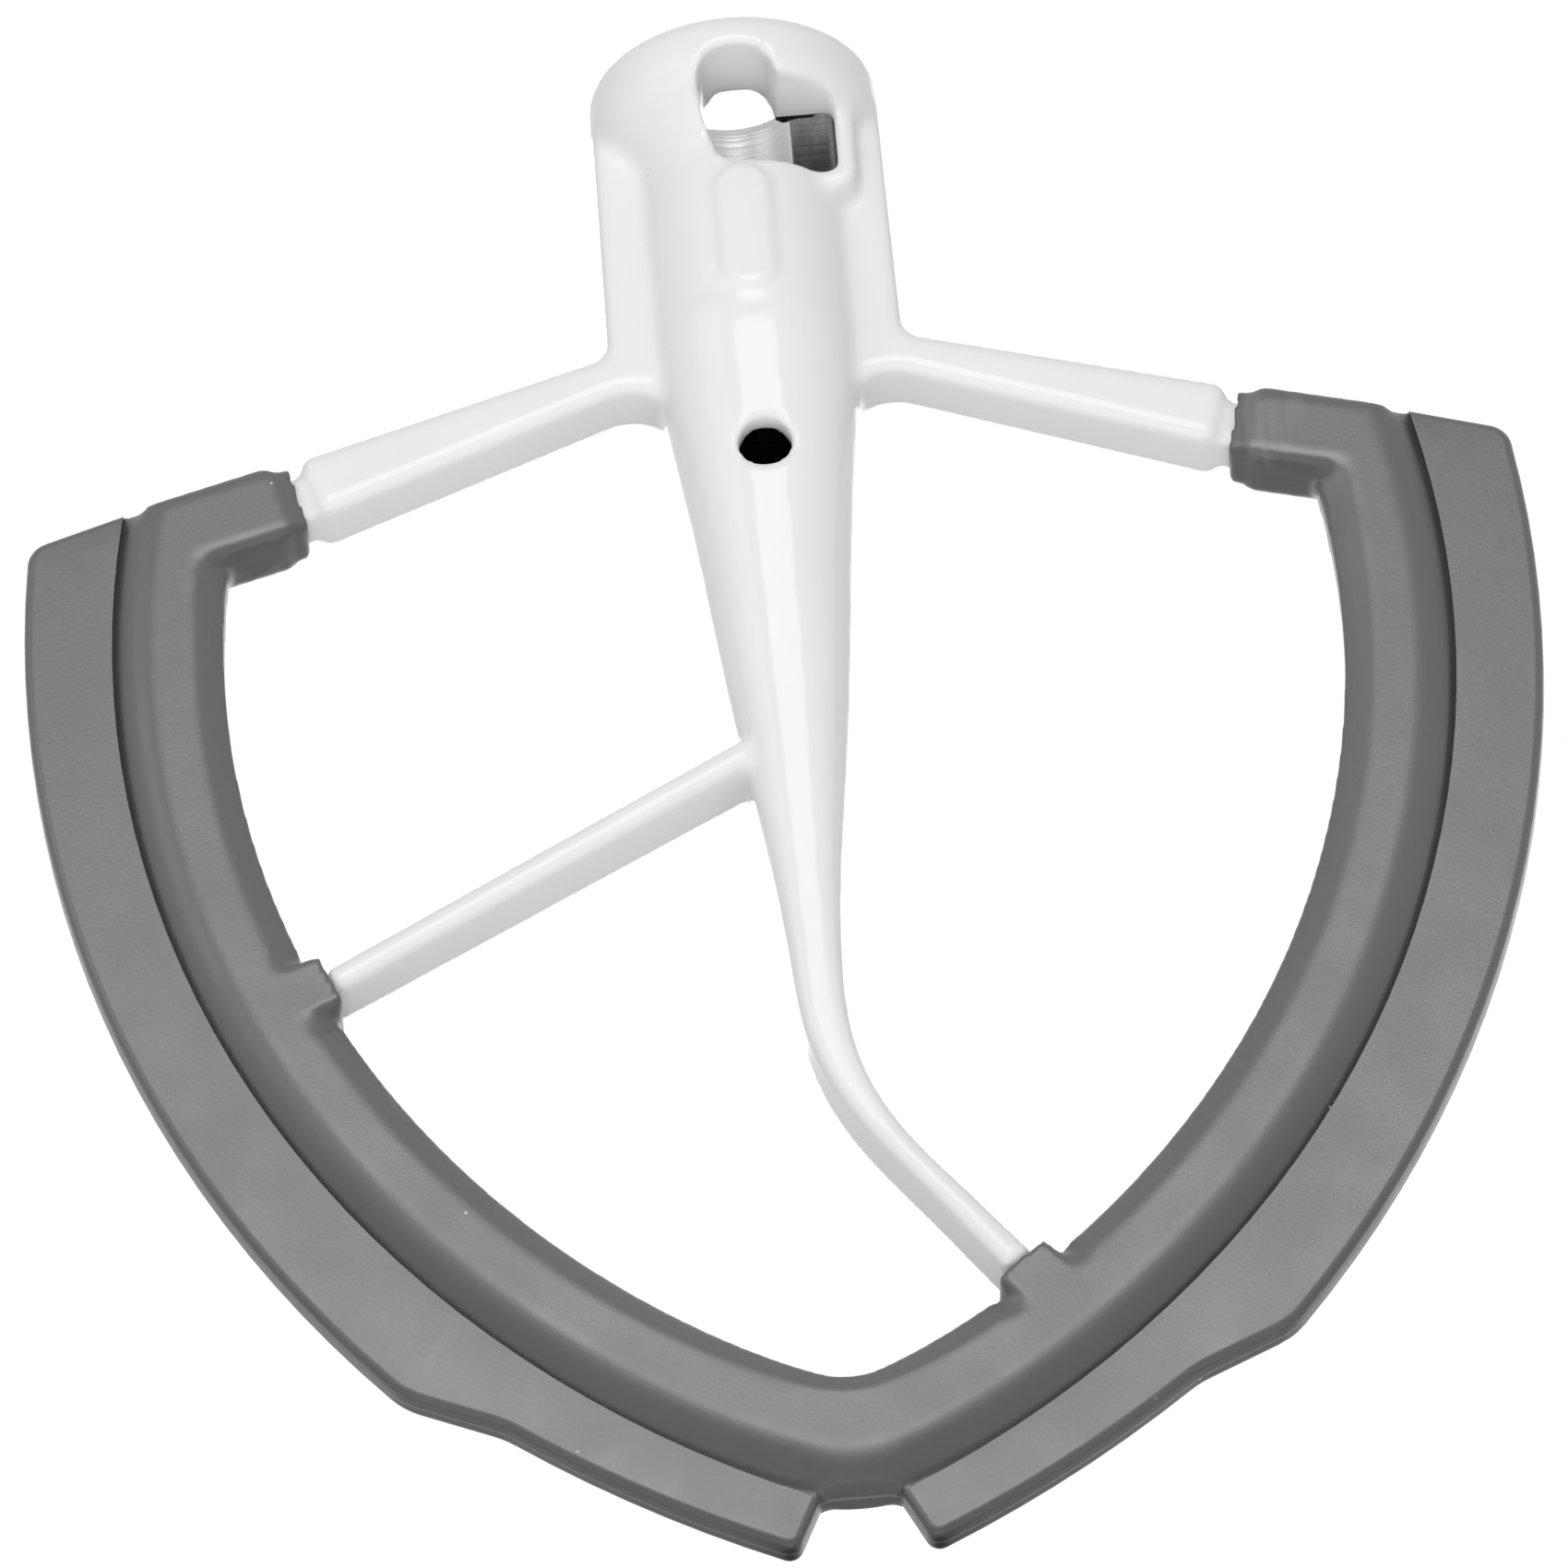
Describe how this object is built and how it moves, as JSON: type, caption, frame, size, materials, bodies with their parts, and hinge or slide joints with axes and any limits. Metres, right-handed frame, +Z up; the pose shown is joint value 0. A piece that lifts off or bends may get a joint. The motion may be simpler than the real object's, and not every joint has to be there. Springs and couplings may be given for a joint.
{
  "type": "stand mixer flat beater",
  "caption": "Flat beater for a stand mixer: white coated die-cast frame with a drive-shaft hub, and a grey soft edge moulded on its rim that wipes the bowl.",
  "frame": {"origin": "centre of the mouth of the shaft bore, on the flat top of the hub", "axes": "+Z up the bore towards the mixer's drive shaft, -Y the front with the pin seat, +X to the right seen from the front"},
  "size_m": [0.149, 0.0288, 0.1733],
  "materials": {
    "white_coating": "gloss",
    "grey_silicone": "matte"
  },
  "bodies": {
    "root": {"cast_frame": "white_coating", "soft_edge": "grey_silicone"}
  },
  "joints": []
}
